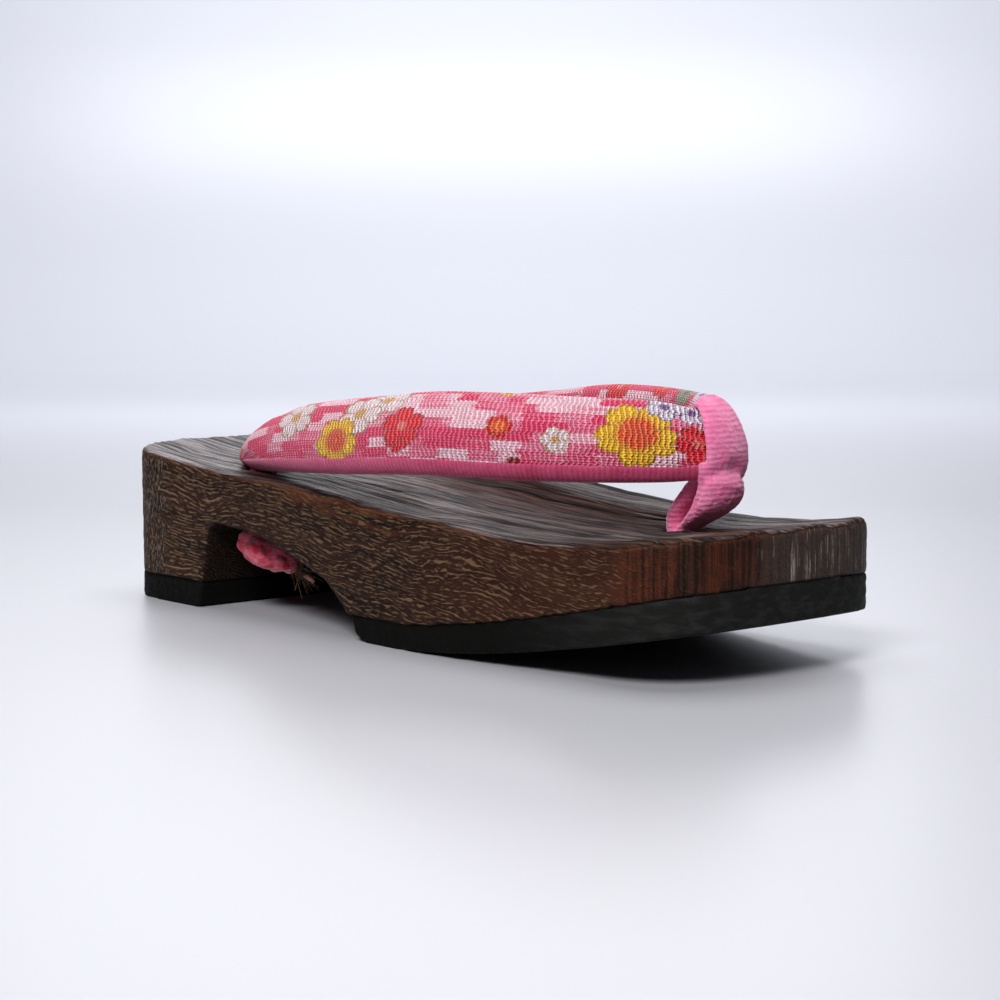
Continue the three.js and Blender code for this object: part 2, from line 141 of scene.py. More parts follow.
def add_paper():
    bpy.ops.mesh.primitive_plane_add(size=2 * paper_reach)
    paper = bpy.context.object
    paper.name = "paper"
    mode("EDIT")
    select("DESELECT")
    mesh = bmesh.from_edit_mesh(paper.data)
    for edge in mesh.edges:
        edge.select_set(all(v.co.y > 0 for v in edge.verts))
    bmesh.update_edit_mesh(paper.data)
    for i in range(curve_steps):
        turn = quarter * (i + 0.5) / curve_steps
        move = Vector((0, math.cos(turn), math.sin(turn))) * paper_curve * quarter / curve_steps
        bpy.ops.mesh.extrude_edges_move(TRANSFORM_OT_translate={"value": move})
    bpy.ops.mesh.extrude_edges_move(TRANSFORM_OT_translate={"value": (0, 0, backdrop_height)})
    mode("OBJECT")
    away = math.atan2(camera_aim.y, camera_aim.x) - quarter
    paper.data.transform(Matrix.Rotation(away, 4, "Z"))
    bpy.ops.object.shade_smooth()
    material, _, shader = new_material("pale paper", Roughness=0.35, Specular_IOR_Level=0.35)
    shader.inputs["Base Color"].default_value = (*paper_colour, 1)
    paper.data.materials.append(material)
    return paper


def add_light(name, place, aim, size, watts, colour=(1, 1, 1)):
    bpy.ops.object.light_add(type="AREA", location=place)
    light = bpy.context.object
    light.name = name
    light.rotation_euler = (Vector(aim) - Vector(place)).to_track_quat("-Z", "Y").to_euler()
    light.data.shape = "RECTANGLE"
    light.data.size, light.data.size_y = size
    light.data.energy = watts
    light.data.color = colour
    return light


def add_world(colour, strength):
    world = bpy.data.worlds.new("studio air")
    world.use_nodes = True
    air = world.node_tree.nodes["Background"].inputs
    air["Color"].default_value = (*colour, 1)
    air["Strength"].default_value = strength
    scene.world = world


paper = add_paper()
add_light("overhead", (-0.12, 0.12, 0.9), (0, 0, 0), (0.8, 0.6), 6, (1, 0.99, 0.98))
add_light("behind", (-0.9, 0.7, 0.55), (0, 0, 0.03), (0.9, 0.3), 2.6, (0.97, 0.98, 1))
add_light("front", (0.5, -0.78, 0.88), (0, 0, 0.03), (0.5, 0.4), 13, (1, 0.98, 0.96))
add_light("backdrop", (-0.8, 0.7, 1.45), (-1.85, 1.6, 0.75), (1.6, 0.8), 48, (0.96, 0.97, 1))
add_world((0.93, 0.95, 1.0), 0.065)

# %% [markdown]
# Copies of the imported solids
#
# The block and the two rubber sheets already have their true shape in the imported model, but as large flat
# faces. A merged copy, remeshed with small even faces, keeps that shape and can take a relief as a carved or
# moulded surface has: a Displace modifier moves the faces by a cloud pattern, stretched along the grain by
# the empty object that carries its coordinates.

# %% Copy, remesh and relief


def modify(piece, kind, **settings):
    """Adds a modifier of this kind with these settings."""
    modifier = piece.modifiers.new(kind, kind)
    for name, value in settings.items():
        setattr(modifier, name, value)


def finish_modifiers(piece):
    alone(piece)
    for modifier in list(piece.modifiers):
        bpy.ops.object.modifier_apply(modifier=modifier.name)


def copy_of_node(node, name):
    piece = bpy.data.objects.new(name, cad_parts[node].data.copy())
    bpy.context.collection.objects.link(piece)
    piece.data.materials.clear()
    alone(piece)
    mode("EDIT")
    select("SELECT")
    bpy.ops.mesh.remove_doubles(threshold=1e-6)
    select("DESELECT")
    mode("OBJECT")
    return piece


def even_faces(piece, size, smoothing=1):
    modify(piece, "REMESH", mode="VOXEL", voxel_size=size, use_smooth_shade=True)
    modify(piece, "SMOOTH", factor=0.5, iterations=smoothing)
    finish_modifiers(piece)


def mark_points(piece, name, weigh):
    """A vertex group with a weight for each point, from its place and its normal."""
    group = piece.vertex_groups.new(name=name)
    for vertex in piece.data.vertices:
        weight = weigh(vertex.co, vertex.normal)
        if weight > 0:
            group.add([vertex.index], min(weight, 1), "REPLACE")
    return group


def relief(piece, name, feature, strength, group="", noise="SOFT_NOISE", depth=2):
    """Moves a surface in and out by a cloud pattern whose features have this length, width and height."""
    clouds = bpy.data.textures.new(name, "CLOUDS")
    clouds.noise_scale = 1
    clouds.noise_depth = depth
    clouds.noise_type = noise
    bpy.ops.object.empty_add()
    carrier = bpy.context.object
    carrier.scale = feature
    bpy.context.view_layer.update()
    where = {"texture_coords": "OBJECT", "texture_coords_object": carrier, "vertex_group": group}
    modify(piece, "DISPLACE", texture=clouds, strength=strength, mid_level=0.5, **where)
    finish_modifiers(piece)
    bpy.data.objects.remove(carrier)
    bpy.data.textures.remove(clouds)


def fold(piece, centre, direction, long, wide, depth):
    """Presses a soft trough into a piece, or raises a ridge, along this direction."""
    points = np.array([vertex.co for vertex in piece.data.vertices])
    normals = np.array([vertex.normal for vertex in piece.data.vertices])
    gap = points - np.array(centre)
    along = gap @ np.array(direction)
    aside = np.linalg.norm(gap - along[:, None] * np.array(direction), axis=1)
    push = depth * np.exp(-((along / long) ** 2) - (aside / wide) ** 2)
    moved = points - normals * push[:, None]
    piece.data.vertices.foreach_set("co", moved.ravel())
    piece.data.update()


def step(value, low, high):
    """0 below low, 1 above high, and a smooth ramp between."""
    t = min(max((value - low) / (high - low), 0), 1)
    return t * t * (3 - 2 * t)


def count(piece):
    print(piece.name, "triangles", sum(len(face.vertices) - 2 for face in piece.data.polygons))


# %% [markdown]
# The block
#
# Wire brushing takes out the soft spring wood and leaves the harder late wood standing as long ridges. They
# show on the footbed as real grooves, deep enough to make its far edge wavy, and faintly on the sides.

# %% Block
block = copy_of_node("wooden_block", "block")
even_faces(block, 0.95 * mm, 2)
quiet_heel = 40 * mm
heel_share = 0.45


def footbed_weight(place, normal):
    """Full in front, and less over the heel, where the grooves are shallower."""
    share = heel_share + (1 - heel_share) * step(place.x, block_low.x + quiet_heel, 0)
    return step(normal.z, 0.35, 0.85) * share


mark_points(block, "footbed", footbed_weight)
mark_points(block, "sides", lambda place, normal: 1 - step(abs(normal.z), 0.3, 0.7))
relief(block, "brushed grooves", (90 * mm, 3.4 * mm, 60 * mm), 2.2 * mm, "footbed", "HARD_NOISE", 2)
relief(block, "long waves", (120 * mm, 10 * mm, 60 * mm), 1.0 * mm, "footbed")
relief(block, "side ripple", (9 * mm, 3 * mm, 2.2 * mm), 0.35 * mm, "sides")
count(block)

# %% [markdown]
# The rubber sheets
#
# The sheets are cut from crumb rubber, so their edge is a little ragged, and cement fills the joint to the
# wood. Their upper faces are moved up across that joint, a little into the wood, before the remesh. Two thin
# ridges of flash run across the back of the heel's sheet. Nothing may sink into the floor, so the underside
# is levelled.

# %% Rubber sheets
glue_joint = 0.6 * mm


def rubber_sheet(node, name):
    sheet = copy_of_node(node, name)
    mode("EDIT")
    mesh = bmesh.from_edit_mesh(sheet.data)
    upper = {vertex for face in mesh.faces if face.normal.z > 0.8 for vertex in face.verts}
    bmesh.ops.translate(mesh, verts=list(upper), vec=(0, 0, glue_joint))
    bmesh.update_edit_mesh(sheet.data)
    even_faces(sheet, 0.8 * mm, 1)
    mark_points(sheet, "edge", lambda place, normal: 1 - step(abs(normal.z), 0.5, 0.9))
    relief(sheet, "ragged edge", (2.4 * mm, 2.4 * mm, 1.6 * mm), 0.5 * mm, "edge")
    count(sheet)
    return sheet


heel_sheet = rubber_sheet("heel_rubber", "heel_sheet")
flash_line = Vector((0.12, 1, 0.02)).normalized()
for height, reach in ((1.2, 1.0), (4.6, 0.7)):
    flash_middle = (block_low.x, -8 * mm, height * mm)
    fold(heel_sheet, flash_middle, flash_line, 34 * mm, 2.0 * mm, -reach * mm)
front_sheet = rubber_sheet("front_rubber", "front_sheet")
for sheet in (heel_sheet, front_sheet):
    for vertex in sheet.data.vertices:
        vertex.co.z = max(vertex.co.z, 0)

# %% [markdown]
# The line of the thong
#
# The thong is a stuffed tube, fuller in the middle of each arm, that tapers where it goes down into the rear
# holes and is squeezed flat at its bend. Each row of the table is one section of an arm: its place along the
# sandal as a share of the length, how far out it lies as a share of half the ball's width, and the middle
# height, height and thickness in millimetres. The left arm mirrors the right one, and the bend is pulled a
# little to the left.

# %% Sections of the thong
half_ball = 45 * mm
thong_lean = math.radians(18)
bend_pull = 4 * mm
arm_table = [
    (0.206, 0.610, 41.2, 1.4, 1.2),
    (0.212, 0.620, 41.9, 3.6, 6.0),
    (0.231, 0.650, 43.9, 6.8, 9.8),
    (0.270, 0.695, 46.6, 12.4, 11.8),
    (0.335, 0.760, 49.8, 17.6, 12.0),
    (0.468, 0.810, 52.6, 20.6, 12.0),
    (0.596, 0.770, 54.7, 21.9, 12.0),
    (0.723, 0.620, 54.6, 21.9, 11.5),
    (0.796, 0.435, 54.3, 21.2, 10.8),
    (0.846, 0.185, 53.8, 19.7, 8.9),
    (0.863, 0.0, 52.9, 16.7, 7.4),
]


def thong_rows():
    rows = []
    for side in (-1, 1):
        arm = arm_table if side < 0 else arm_table[-2::-1]
        for at, out, middle, tall, thick in arm:
            pull = bend_pull * step(at, 0.55, 0.87)
            place = (block_low.x + at * sandal_length, side * out * half_ball + pull, middle * mm)
            rows.append([*Vector(place), tall * mm, thick * mm])
    return rows


def dense_line(rows, between=24):
    """Places, heights and thicknesses at many points of a smooth curve through the rows."""
    values = np.array(rows)
    gaps = np.linalg.norm(np.diff(values[:, :3], axis=0), axis=1) ** 0.5
    knots = np.concatenate([[0], np.cumsum(gaps)])
    slopes = np.gradient(values, knots, axis=0)
    line = []
    for k in range(len(rows) - 1):
        width = knots[k + 1] - knots[k]
        for t in np.arange(between) / between:
            a, b = 2 * t**3 - 3 * t**2 + 1, t**3 - 2 * t**2 + t
            c, d = 3 * t**2 - 2 * t**3, t**3 - t**2
            start = a * values[k] + b * width * slopes[k]
            line.append(start + c * values[k + 1] + d * width * slopes[k + 1])
    line.append(values[-1])
    return np.array(line)


line = dense_line(thong_rows())
line_steps = np.linalg.norm(np.diff(line[:, :3], axis=0), axis=1)
line_along = np.concatenate([[0], np.cumsum(line_steps)])
thong_length = line_along[-1]
line_out = np.gradient(line[:, :2], line_along, axis=0)
line_out = np.stack([line_out[:, 1], -line_out[:, 0], np.zeros(len(line))], axis=1)
line_out /= np.linalg.norm(line_out, axis=1)[:, None]
up = np.array([0, 0, 1.0])
line_face = line_out * math.cos(thong_lean) + up * math.sin(thong_lean)
line_edge = up * math.cos(thong_lean) - line_out * math.sin(thong_lean)


def section_at(along):
    """The middle, face direction, edge direction, height and thickness this far from the right tip."""
    *middle, tall, thick = (np.interp(along, line_along, column) for column in line.T)
    face = Vector([np.interp(along, line_along, column) for column in line_face.T]).normalized()
    edge = Vector([np.interp(along, line_along, column) for column in line_edge.T]).normalized()
    return Vector(middle), face, edge, tall, thick


print("thong length", round(thong_length, 4), "m over", len(line), "points")

# %% [markdown]
# Lofting by hand
#
# A tube whose section changes is made the way a boat's skin is: one ring is added at each section, as an
# ellipse turned to the line, and neighbouring rings are bridged two by two. The same helper makes the thong,
# its lining and its ends, and the toe loop's band and two tails. Subdivision then rounds it.

# %% Loft helper
ring_points = 24
cap_inset = 0.2 * mm


def new_piece(name):
    """An empty piece in edit mode, ready for primitives."""
    piece = bpy.data.objects.new(name, bpy.data.meshes.new(name))
    bpy.context.collection.objects.link(piece)
    alone(piece)
    mode("EDIT")
    return piece


def select_points(mesh, first, points):
    """Selects this many points in a row, and nothing else."""
    select("DESELECT")
    work = bmesh.from_edit_mesh(mesh)
    work.verts.ensure_lookup_table()
    for k in range(first, first + points):
        work.verts[k].select_set(True)
    work.select_flush(True)
    bmesh.update_edit_mesh(mesh)


def add_ring(middle, face, edge, tall, thick):
    turned = Matrix((face, edge, face.cross(edge))).transposed()
    turn = turned.to_euler()
    bpy.ops.mesh.primitive_circle_add(vertices=ring_points, radius=0.5, location=middle, rotation=turn)
    bpy.ops.transform.resize(
        value=(thick, tall, 1),
        orient_type="LOCAL",
        orient_matrix=turned,
        orient_matrix_type="LOCAL",
        center_override=middle,
    )


def loft(name, sections, closed=True):
    """sections: (middle, face direction, edge direction, height, thickness) for each ring."""
    piece = new_piece(name)
    for section in sections:
        add_ring(*section)
    for i in range(len(sections) - 1):
        select_points(piece.data, i * ring_points, 2 * ring_points)
        bpy.ops.mesh.bridge_edge_loops()
    if closed:
        for first in (0, (len(sections) - 1) * ring_points):
            select_points(piece.data, first, ring_points)
            bpy.ops.mesh.edge_face_add()
            bpy.ops.mesh.inset(thickness=cap_inset)
    select("SELECT")
    bpy.ops.mesh.normals_make_consistent(inside=False)
    mode("OBJECT")
    return piece


def rounded(piece, levels=2):
    modify(piece, "SUBSURF", levels=levels, render_levels=levels)
    finish_modifiers(piece)
    bpy.ops.object.shade_smooth()


def thong_sections(start, end, rings, grow=0.0):
    sections = []
    for i in range(rings):
        along = start + (end - start) * i / (rings - 1)
        middle, face, edge, tall, thick = section_at(along)
        sections.append((middle, face, edge, tall + 2 * grow, thick + 2 * grow))
    return sections


# %% [markdown]
# Cloth that follows the tube
#
# A print, a rib or a nap has to follow the cloth round the bend, so each cloth piece gets a UV map, measured
# in metres: how far along the thong a point lies, and how far round the section from the middle of its outer
# face, which lies at 0.04 so that no value is below zero.

# %% Cloth coordinates
cloth_middle = 0.04
at_once = 2000


def on_sections(points):
    """For each point the nearest point of the line, the way from there, and its angle round the section."""
    nearest = np.empty(len(points), dtype=int)
    for first in range(0, len(points), at_once):
        part = points[first : first + at_once]
        gap = ((part[:, None, :] - line[None, :, :3]) ** 2).sum(2)
        nearest[first : first + at_once] = gap.argmin(1)
    offset = points - line[nearest, :3]
    up_share = (offset * line_edge[nearest]).sum(1) / line[nearest, 3]
    out_share = (offset * line_face[nearest]).sum(1) / line[nearest, 4]
    return nearest, offset, np.arctan2(up_share, out_share)


def lay_cloth(piece):
    nearest, offset, angle = on_sections(np.array([vertex.co for vertex in piece.data.vertices]))
    half_tall, half_thick = line[nearest, 3] / 2, line[nearest, 4] / 2
    forward = np.cross(line_face, line_edge)[nearest]
    along = line_along[nearest] - (offset * forward).sum(1)
    around = arc_round(angle, half_tall, half_thick)
    half_round = arc_round(np.full(len(angle), math.pi), half_tall, half_thick)
    layer = piece.data.uv_layers.new(name="cloth")
    for face in piece.data.polygons:
        first = around[face.vertices[0]]
        for loop_index in face.loop_indices:
            vertex = piece.data.loops[loop_index].vertex_index
            value = around[vertex]
            if value - first > half_round[vertex]:
                value -= 2 * half_round[vertex]
            if first - value > half_round[vertex]:
                value += 2 * half_round[vertex]
            layer.data[loop_index].uv = (along[vertex], value + cloth_middle)


def arc_round(angle, half_tall, half_thick, steps=12):
    """The length round an ellipse from the middle of its outer face to this angle."""
    total = np.zeros(len(angle))
    for i in range(steps):
        turn = angle * (i + 0.5) / steps
        pace = np.sqrt((half_thick * np.sin(turn)) ** 2 + (half_tall * np.cos(turn)) ** 2)
        total += pace * angle / steps
    return total


# %% [markdown]
# The thong
#
# A tube of printed crepe over a cotton filling, lofted from tip to tip. Its ends go down into the block as
# two short tubes, which come with the ties below.

# %% Thong
thong_rings = 56
tip_gap = 0.4 * mm
thong = loft("printed_thong", thong_sections(tip_gap, thong_length - tip_gap, thong_rings))
rounded(thong, 2)
lay_cloth(thong)
count(thong)

# %% [markdown]
# Creases
#
# The filling is firm, so the tube has few creases: puckers where the loop squeezes it, folds where it
# narrows to its tips, and shallow dents on the arms. Each is listed: where it lies along the thong
# and in degrees round it from the middle of its outer face, how long and wide it is, how deep, and how far
# it slants. A negative depth is a ridge. The points near its line are moved along their normals by a soft
# bell curve.

# %% Soft folds
thong_folds = [
    (9, 25, 8, 1.3, 0.5, 12),
    (10, -20, 9, 1.2, 0.45, -8),
    (14, 62, 9, 1.5, 0.5, 5),
    (30, 66, 13, 2.6, 0.5, -14),
    (56, 12, 16, 4.0, 0.4, 24),
    (84, 58, 20, 3.6, 0.45, -10),
    (108, -8, 18, 3.6, -0.35, 8),
    (128, 48, 15, 3.0, 0.4, 16),
    (146, 26, 10, 2.2, 0.35, -18),
    (165, 38, 6, 1.3, 0.6, 10),
    (166, 8, 7, 1.2, 0.5, -6),
    (166, -22, 6, 1.2, 0.55, -14),
    (181, 45, 7, 1.4, 0.6, 8),
    (181, 5, 7, 1.3, 0.5, -10),
    (200, 60, 15, 3.0, 0.45, 12),
    (232, 20, 20, 4.0, 0.4, -16),
    (262, 64, 18, 3.2, 0.45, 10),
    (290, 0, 16, 3.6, 0.4, -20),
    (318, 62, 11, 2.0, 0.5, 10),
    (329, 20, 9, 1.3, 0.5, -10),
]


def on_thong(along, degrees, slant):
    """A point on the thong's skin, and a direction there that slants from the thong's own line."""
    middle, face, edge, tall, thick = section_at(along)
    turn = math.radians(degrees)
    place = middle + face * math.cos(turn) * thick / 2 + edge * math.sin(turn) * tall / 2
    round_it = edge * math.cos(turn) * tall - face * math.sin(turn) * thick
    forward = edge.cross(face)
    tilt = math.radians(slant)
    return place, (forward * math.cos(tilt) + round_it.normalized() * math.sin(tilt)).normalized()


for along, degrees, long, wide, depth, slant in thong_folds:
    place, direction = on_thong(along * mm, degrees, slant)
    fold(thong, place, direction, long * mm, wide * mm, depth * mm)
print("folds on the thong:", len(thong_folds))

# %% [markdown]
# The lining
#
# Plain velveteen faces the foot and shows outside as a narrow strip under the print. It is cut from the same
# tube: the faces on the foot's side are kept, moved out by a third of a millimetre, and given a thickness.

# %% Lining
lining_from = math.radians(-40)
lining_to = math.radians(-212)
bare_tip = 9 * mm
lining_rings = 60


def keep_lined_side(piece):
    mode("EDIT")
    bpy.ops.mesh.select_mode(type="FACE")
    select("DESELECT")
    work = bmesh.from_edit_mesh(piece.data)
    turns = on_sections(np.array([face.calc_center_median() for face in work.faces]))[2]
    turns[turns > math.radians(100)] -= 2 * math.pi
    for face, turn in zip(work.faces, turns):
        face.select_set(not lining_to <= turn <= lining_from)
    bmesh.update_edit_mesh(piece.data)
    bpy.ops.mesh.delete(type="FACE")
    select("SELECT")
    mode("OBJECT")


lining_line = thong_sections(bare_tip, thong_length - bare_tip, lining_rings, 0.3 * mm)
lining = loft("velveteen_lining", lining_line, closed=False)
keep_lined_side(lining)
modify(lining, "SOLIDIFY", thickness=1.1 * mm, offset=-1)
rounded(lining, 2)
lay_cloth(lining)
count(lining)

# %% [markdown]
# The toe loop
#
# A band of ribbed velveteen goes round the bend. Below, its front and back ends come together as two fat
# tails, pressed side by side, which lean back and go down the front hole. Band and tails are remeshed into
# one soft piece, so that they run into each other as cloth does. Each row of a tail's table is a section:
# how far it lies in front of the bend's middle and to its left, how high over the floor, how wide it is and
# how deep. Each row of the loop's folds has its place in the same way, its direction, how long and wide it
# is, and how deep.

# %% Toe loop
bend_along = thong_length / 2
band_from = bend_along - 2.2 * mm
band_to = bend_along + 9.4 * mm
band = loft("toe_band", thong_sections(band_from, band_to, 9, 0.5 * mm), closed=False)
modify(band, "SOLIDIFY", thickness=2.0 * mm, offset=1)
rounded(band, 1)

bend_middle = section_at(bend_along)[0]
forward = Vector((1, 0, 0))
leftward = Vector((0, 1, 0))
front_tail_table = [
    (3.4, 0.2, 49.0, 11.5, 4.4),
    (4.0, 1.2, 45.5, 13.4, 6.6),
    (4.0, 2.0, 41.8, 15.4, 8.0),
    (2.6, 1.3, 38.2, 15.8, 8.2),
    (0.6, 0.0, 35.6, 13.2, 6.8),
    (-2.4, -0.8, 33.4, 9.4, 5.0),
    (-5.0, -1.6, 31.6, 6.6, 4.2),
    (-5.4, -1.7, 26.0, 6.4, 4.4),
]
back_tail_table = [
    (-0.6, 0.4, 47.0, 5.0, 3.0),
    (-2.2, 0.0, 43.5, 6.8, 3.4),
    (-4.3, -0.6, 40.5, 8.4, 3.8),
    (-6.7, -1.1, 37.0, 8.0, 3.8),
    (-8.2, -1.5, 34.4, 6.6, 3.8),
    (-8.0, -1.7, 32.4, 5.4, 3.4),
    (-7.7, -1.8, 26.0, 6.0, 4.0),
]


def by_the_bend(x, y, z):
    return bend_middle.x + x * mm, bend_middle.y + y * mm, z * mm


def tail(name, table):
    sections = []
    for x, y, z, wide, deep in table:
        sections.append((Vector(by_the_bend(x, y, z)), forward, leftward, wide * mm, deep * mm))
    piece = loft(name, sections)
    rounded(piece, 1)
    return piece


def joined(pieces):
    alone(pieces[0])
    for piece in pieces:
        piece.select_set(True)
    bpy.ops.object.join()
    return pieces[0]


toe_loop = joined([band, tail("front_tail", front_tail_table), tail("back_tail", back_tail_table)])
toe_loop.name = "velveteen_loop"
even_faces(toe_loop, 0.36 * mm, 4)
loop_folds = [
    (4.4, 5.6, 47.4, (0.75, -0.65, 0.1), 7.0, 1.7, 1.5),
    (2.2, -6.2, 39.0, (0.3, 0.05, 0.95), 5.5, 1.0, 0.9),
    (6.4, -3.0, 46.0, (0.3, 1.0, 0.15), 4.0, 1.3, 0.8),
    (3.0, -6.0, 43.0, (0.7, 0.2, 0.7), 3.5, 1.0, 0.7),
    (6.8, 1.0, 43.6, (0.2, 1.0, -0.3), 4.0, 1.3, -0.5),
    (2.0, -4.6, 38.6, (0.8, 0.1, 0.6), 4.0, 0.9, 0.5),
    (-5.0, -4.6, 38.4, (0.6, 0.1, 0.8), 3.6, 0.8, 0.5),
]
for x, y, z, direction, long, wide, depth in loop_folds:
    direction = Vector(direction).normalized()
    fold(toe_loop, by_the_bend(x, y, z), direction, long * mm, wide * mm, depth * mm)
relief(toe_loop, "nap", (1.0 * mm, 1.0 * mm, 1.0 * mm), 0.42 * mm)
count(toe_loop)

# %% [markdown]
# The ties underneath
#
# Behind, each end of the thong goes down its hole in the block and is knotted under the arch: a soft twisted
# lump of the same cloth with the frayed end of its hemp core. In front, the loop's knot sits in its recess.

# %% Knots


def lump(name, node, wrinkle, size):
    """A copy of a knot's solid, creased and wrinkled."""
    piece = copy_of_node(node, name)
    even_faces(piece, 0.7 * mm, 4)
    relief(piece, "soft folds", (size, size * 0.6, size), wrinkle, noise="HARD_NOISE", depth=1)
    relief(piece, "small folds", (size * 0.4, size * 0.3, size * 0.4), wrinkle * 0.35)
    bpy.ops.object.shade_smooth()
    count(piece)
    return piece


knot_right = lump("tied_end_right", "rear_knot_right", 2.4 * mm, 9 * mm)
knot_left = lump("tied_end_left", "rear_knot_left", 2.4 * mm, 9 * mm)
knot_front = lump("loop_knot", "front_knot", 1.6 * mm, 6 * mm)

# %% Ends of the thong
hole_forward = 60 * mm
hole_out = 0.644 * half_ball
end_table = [(44.5, 5.4), (42, 7.0), (39.5, 9.6), (35, 9.7), (30, 9.7), (25.5, 9.7), (22, 9.7)]


def thong_end(side):
    """An upright tube from the thong down to its knot, from rows of height and width."""
    sections = []
    for height, width in end_table:
        middle = Vector((block_low.x + hole_forward, side * hole_out, height * mm))
        sections.append((middle, forward, leftward, width * mm, width * mm))
    piece = loft("thong_end", sections)
    rounded(piece, 1)
    return piece


thong_ends = joined([thong_end(-1), thong_end(1)])
thong_ends.name = "thong_ends"
lay_cloth(thong_ends)
count(thong_ends)

# %% Hemp
floor_gap = 1.5 * mm


def hemp_fray(name, node, strands, seed):
    """Fine stiff fibres that spray out of the end of the core."""
    choose = random.Random(seed)
    low, high = box_of(node)
    root = Vector((high.x - 9 * mm, (low.y + high.y) / 2, low.z + 4 * mm))
    piece = new_piece(name)
    for _ in range(strands):
        reach = choose.uniform(4, 9) * mm
        pitch = math.radians(choose.uniform(-14, 44))
        yaw = math.radians(choose.gauss(0, 26))
        level = math.cos(pitch)
        direction = Vector((level * math.cos(yaw), level * math.sin(yaw), -math.sin(pitch)))
        start = root + Vector([choose.uniform(-1.4, 1.4) * mm for _ in range(3)])
        if (start + direction * reach).z < floor_gap:
            reach = (start.z - floor_gap) / max(-direction.z, 0.01)
        bpy.ops.mesh.primitive_cone_add(
            vertices=5,
            radius1=0.15 * mm,
            radius2=0.05 * mm,
            depth=reach,
            location=start + direction * reach / 2,
            rotation=direction.to_track_quat("Z", "Y").to_euler(),
        )
    mode("OBJECT")
    count(piece)
    return piece


fray_right = hemp_fray("hemp_fray_right", "rear_knot_right", 46, 5)
fray_left = hemp_fray("hemp_fray_left", "rear_knot_left", 40, 9)

# %% [markdown]
# Shader building blocks
#
# The finishes are built from a few short helpers. What a node gives out is kept as a Value, so that patterns
# can be added, multiplied and divided as written, and each such sign makes a Math node. All patterns are
# written in millimetres, so every number can be checked against the real thing.

# %% Shader helpers


class Value:
    """What a node gives out, with the signs that make Math nodes."""

    def __init__(self, tree, socket):
        self.tree = tree
        self.socket = socket

    def __add__(self, other):
        return calc("ADD", self, other)

    def __sub__(self, other):
        return calc("SUBTRACT", self, other)

    def __rsub__(self, other):
        return calc("SUBTRACT", other, self)

    def __mul__(self, other):
        return calc("MULTIPLY", self, other)

    def __truediv__(self, other):
        return calc("DIVIDE", self, other)

    def __rtruediv__(self, other):
        return calc("DIVIDE", other, self)


def feed(socket, value):
    """Sets a socket to a number or a colour, or links it to what a node gives out."""
    if isinstance(value, Value):
        value.tree.links.new(value.socket, socket)
    elif socket.type == "RGBA":
        socket.default_value = (*value, 1)
    else:
        socket.default_value = value


def tree_of(*values):
    return next(value.tree for value in values if isinstance(value, Value))


def add_node(tree, kind, inputs, output=0, **settings):
    """A node with these settings and inputs, by name or number. Gives one of its outputs."""
    node = tree.nodes.new("ShaderNode" + kind)
    for name, setting in settings.items():
        setattr(node, name, setting)
    for name, value in inputs.items():
        feed(node.inputs[name], value)
    return Value(tree, node.outputs[output])


def calc(operation, *values):
    return add_node(tree_of(*values), "Math", dict(enumerate(values)), operation=operation)


def ramp(value, low, high, to_low=0.0, to_high=1.0):
    """A smooth ramp from to_low at low to to_high at high."""
    inputs = {"Value": value, "From Min": low, "From Max": high, "To Min": to_low, "To Max": to_high}
    return add_node(value.tree, "MapRange", inputs, interpolation_type="SMOOTHSTEP")


def between(value, start, full, fade, end):
    """Rises from 0 to 1 between start and full, and falls to 0 again between fade and end."""
    return ramp(value, start, full) * ramp(value, fade, end, 1.0, 0.0)


def mix(share, first, second, blend="MIX"):
    inputs = {0: share, 6: first, 7: second}
    return add_node(tree_of(share, first, second), "Mix", inputs, 2, data_type="RGBA", blend_type=blend)


def stretched(place, scale, shift=(0, 0, 0)):
    return add_node(place.tree, "Mapping", {"Vector": place, "Location": shift, "Scale": scale})


def noise(place, scale, detail=2.0, roughness=0.5, shift=(0, 0, 0), distortion=0.0):
    """Clouds, with this many features to a millimetre along each axis."""
    inputs = {"Vector": stretched(place, scale, shift), "Scale": 1.0, "Detail": detail}
    return add_node(place.tree, "TexNoise", {**inputs, "Roughness": roughness, "Distortion": distortion})


def apart(place):
    node = place.tree.nodes.new("ShaderNodeSeparateXYZ")
    feed(node.inputs[0], place)
    return [Value(place.tree, output) for output in node.outputs]


def together(x, y, z=0.0):
    return add_node(tree_of(x, y, z), "CombineXYZ", {0: x, 1: y, 2: z})


per_metre = (1 / mm, 1 / mm, 1 / mm)


def place_in_mm(tree):
    """The point's place on the sandal, in millimetres."""
    return stretched(add_node(tree, "TexCoord", {}, "Object"), per_metre)


def facing(tree):
    """Which way the surface faces, in the sandal's own axes."""
    return apart(add_node(tree, "TexCoord", {}, "Normal"))


def cloth_in_mm(tree):
    """The point's place on the cloth, in millimetres along and round the thong."""
    return stretched(add_node(tree, "UVMap", {}, uv_map="cloth"), per_metre, (0, -cloth_middle / mm, 0))


def add_bump(shader, height, distance):
    normal = add_node(height.tree, "Bump", {"Height": height, "Distance": distance})
    feed(shader.inputs["Normal"], normal)
    return normal


def new_group(name, inputs, outputs):
    """An empty group, its inputs as values, and its outputs to be fed."""
    group = bpy.data.node_groups.new(name, "ShaderNodeTree")
    for title, kind, value in inputs:
        socket = group.interface.new_socket(name=title, in_out="INPUT", socket_type="NodeSocket" + kind)
        if value is not None:
            socket.default_value = value
    for title, kind in outputs:
        group.interface.new_socket(name=title, in_out="OUTPUT", socket_type="NodeSocket" + kind)
    given = {socket.name: Value(group, socket) for socket in group.nodes.new("NodeGroupInput").outputs}
    return group, given, group.nodes.new("NodeGroupOutput").inputs


